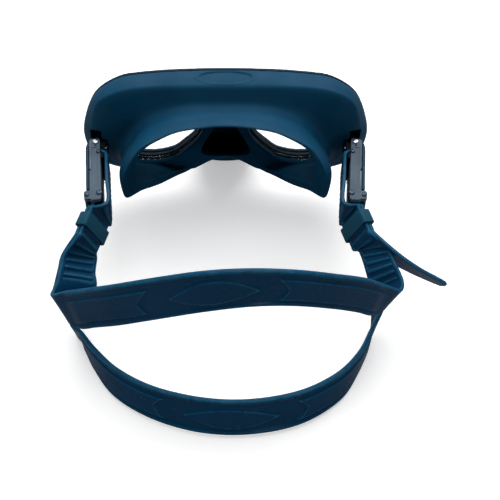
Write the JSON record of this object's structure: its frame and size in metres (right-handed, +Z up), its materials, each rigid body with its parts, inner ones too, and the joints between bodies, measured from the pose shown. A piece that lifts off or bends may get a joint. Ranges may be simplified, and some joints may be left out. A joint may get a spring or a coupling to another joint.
{
  "type": "diving mask",
  "caption": "Two-lens diving mask with a soft nose pocket and face skirt, swivelling quick-release buckles and a split silicone head strap.",
  "frame": {"origin": "middle of the flat land under the nose pocket, on which the mask stands", "axes": "+Z up, from the land to the top of the rim; +Y forwards, the way the wearer looks; +X to the side named right in the part names, which is the right side of the object seen from behind"},
  "size_m": [0.2118, 0.2092, 0.0885],
  "materials": {
    "skirt_silicone": "matte blue-navy moulded silicone",
    "strap_silicone": "satin navy moulded silicone",
    "frame_plastic": "fine grained dark grey plastic",
    "buckle_plastic": "satin grey-blue moulded plastic",
    "lever_plastic": "satin navy moulded plastic",
    "dark_plastic": "near-black moulded plastic",
    "steel": "polished stainless pin",
    "glass": "clear tempered glass"
  },
  "bodies": {
    "mask_body": {"skirt": "skirt_silicone", "front_frame": "frame_plastic", "lens_right": "glass", "lens_retainer_right": "dark_plastic", "swivel_pin_right": "steel", "lens_left": "glass", "lens_retainer_left": "dark_plastic", "swivel_pin_left": "steel"},
    "strap_assembly": {"strap": "strap_silicone", "buckle_housing_right": "buckle_plastic", "swivel_block_right": "dark_plastic", "hinge_pin_right": "steel", "roller_pin_right": "steel", "guide_pin_right": "steel", "lever_pin_right": "steel", "lever_spring_right": "steel", "buckle_housing_left": "buckle_plastic", "swivel_block_left": "dark_plastic", "hinge_pin_left": "steel", "roller_pin_left": "steel", "guide_pin_left": "steel", "lever_pin_left": "steel", "lever_spring_left": "steel"},
    "lever_right": {"release_lever_right": "lever_plastic"},
    "roller_right": {"strap_roller_right": "dark_plastic"},
    "keeper_right": {"strap_keeper_right": "strap_silicone"},
    "lever_left": {"release_lever_left": "lever_plastic"},
    "roller_left": {"strap_roller_left": "dark_plastic"},
    "keeper_left": {"strap_keeper_left": "strap_silicone"}
  },
  "joints": [
    {"name": "strap_swing", "type": "hinge", "parent": "mask_body", "child": "strap_assembly", "pos_m": [0, -0.038, 0.0445], "axis": [-1, 0, 0], "range_deg": [-30, 30]},
    {"name": "lever_release_right", "type": "hinge", "parent": "strap_assembly", "child": "lever_right", "pos_m": [0.07655, -0.08651, 0.0445], "axis": [0, 0, -1], "range_deg": [0, 18]},
    {"name": "roller_turn_right", "type": "hinge", "parent": "strap_assembly", "child": "roller_right", "pos_m": [0.073, -0.053, 0.0445], "axis": [0, 0, 1], "continuous": true},
    {"name": "keeper_slide_right", "type": "slide", "parent": "strap_assembly", "child": "keeper_right", "axis": [0.2996, -0.9388, -0.1698], "range_m": [-0.001, 0.003]},
    {"name": "lever_release_left", "type": "hinge", "parent": "strap_assembly", "child": "lever_left", "pos_m": [-0.07655, -0.08651, 0.0445], "axis": [0, 0, 1], "range_deg": [0, 18]},
    {"name": "roller_turn_left", "type": "hinge", "parent": "strap_assembly", "child": "roller_left", "pos_m": [-0.073, -0.053, 0.0445], "axis": [0, 0, -1], "continuous": true},
    {"name": "keeper_slide_left", "type": "slide", "parent": "strap_assembly", "child": "keeper_left", "axis": [-0.2996, -0.9388, -0.1698], "range_m": [-0.001, 0.003]}
  ]
}
